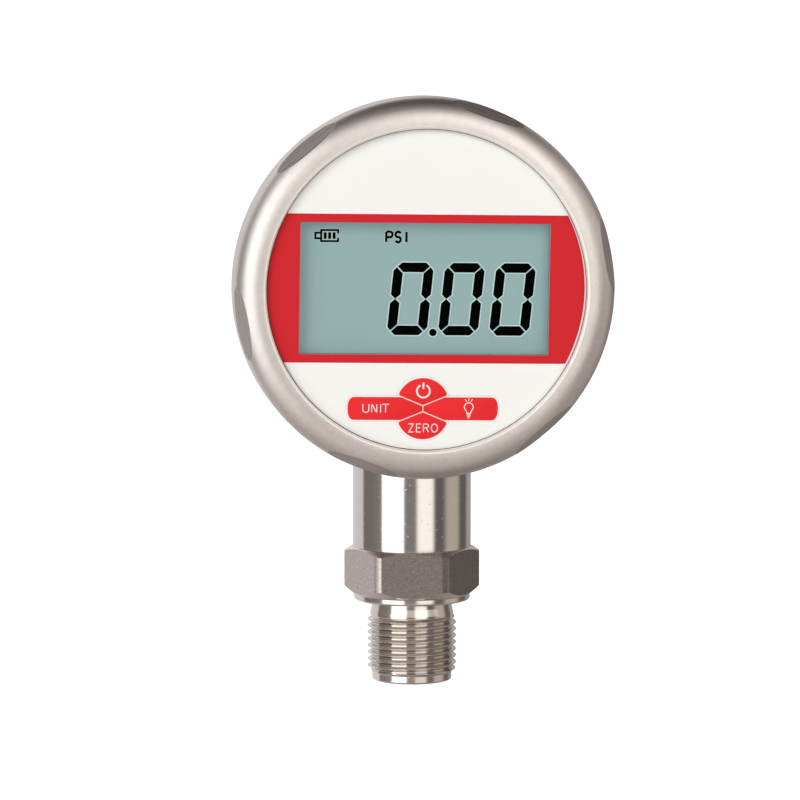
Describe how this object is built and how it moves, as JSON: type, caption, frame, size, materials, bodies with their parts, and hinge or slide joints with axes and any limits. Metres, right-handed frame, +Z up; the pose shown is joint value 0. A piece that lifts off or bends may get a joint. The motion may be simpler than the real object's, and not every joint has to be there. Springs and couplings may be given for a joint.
{
  "type": "digital pressure gauge",
  "caption": "Round steel digital pressure gauge with a display, four keys and a threaded lower connection with a hexagon.",
  "frame": {"origin": "centre of the lower tip of the threaded connection, on the stem axis", "axes": "+Z up the stem from the tip to the case, -Y out of the face towards the reader, +X to the reader's right"},
  "size_m": [0.0836, 0.0489, 0.1318],
  "materials": {
    "bezel_steel": "turned and polished, with brushed wrench flats",
    "case_steel": "fine brushed",
    "neck_steel": "turned",
    "connector_steel": "turned, satin",
    "sensor_steel": "turned",
    "screw_steel": "plain",
    "panel_white": "smooth printed film with a red band",
    "key_red": "smooth, with white legends",
    "clear_window": "clear",
    "display_grey": "grey-green display glass",
    "segment_black": "black display segments",
    "black_plastic": "fine grain",
    "ivory_plastic": "smooth",
    "strip_rubber": "layered contact rubber",
    "board_green": "solder mask",
    "switch_metal": "tin plated",
    "part_tan": "plain",
    "cell_sleeve": "plain coloured sleeve, no print",
    "wire_sleeve": "smooth sleeve",
    "seal_rubber": "matt",
    "pin_brass": "gold plated"
  },
  "bodies": {
    "case": {"bezel_ring": "bezel_steel", "bezel_seal": "seal_rubber", "panel_gasket": "seal_rubber", "face_panel": "panel_white", "display_window": "clear_window", "lcd_glass": "display_grey", "lcd_segments": "segment_black", "lcd_frame": "black_plastic", "backlight_panel": "ivory_plastic", "contact_strips": "strip_rubber", "display_board": "board_green", "key_switches": "switch_metal", "microcontroller": "black_plastic", "board_parts": "part_tan", "board_sockets": "ivory_plastic", "board_screws": "screw_steel", "case_shell": "case_steel", "rear_gasket": "seal_rubber", "rear_cover": "black_plastic", "cover_screws": "screw_steel", "vent_plug": "black_plastic", "battery_tray": "black_plastic", "upper_cell": "cell_sleeve", "lower_cell": "cell_sleeve", "battery_contacts": "switch_metal", "battery_springs": "switch_metal", "battery_leads": "wire_sleeve", "neck_tube": "neck_steel", "saddle_washer": "screw_steel", "neck_seal": "seal_rubber", "case_nut": "screw_steel", "process_connector": "connector_steel", "pressure_sensor": "sensor_steel", "sensor_seal": "seal_rubber", "sensor_ring": "sensor_steel", "sensor_pins": "pin_brass", "sensor_board": "board_green", "sensor_plug": "ivory_plastic", "sensor_cable": "wire_sleeve"},
    "power_button": {"power_key": "key_red"},
    "zero_button": {"zero_key": "key_red"},
    "units_button": {"units_key": "key_red"},
    "light_button": {"light_key": "key_red"}
  },
  "joints": [
    {"name": "power_press", "type": "slide", "parent": "case", "child": "power_button", "axis": [0, 1, 0], "range_m": [0, 0.0003], "stiffness_N_per_m": 2000},
    {"name": "zero_press", "type": "slide", "parent": "case", "child": "zero_button", "axis": [0, 1, 0], "range_m": [0, 0.0003], "stiffness_N_per_m": 2000},
    {"name": "units_press", "type": "slide", "parent": "case", "child": "units_button", "axis": [0, 1, 0], "range_m": [0, 0.0003], "stiffness_N_per_m": 2000},
    {"name": "light_press", "type": "slide", "parent": "case", "child": "light_button", "axis": [0, 1, 0], "range_m": [0, 0.0003], "stiffness_N_per_m": 2000}
  ]
}
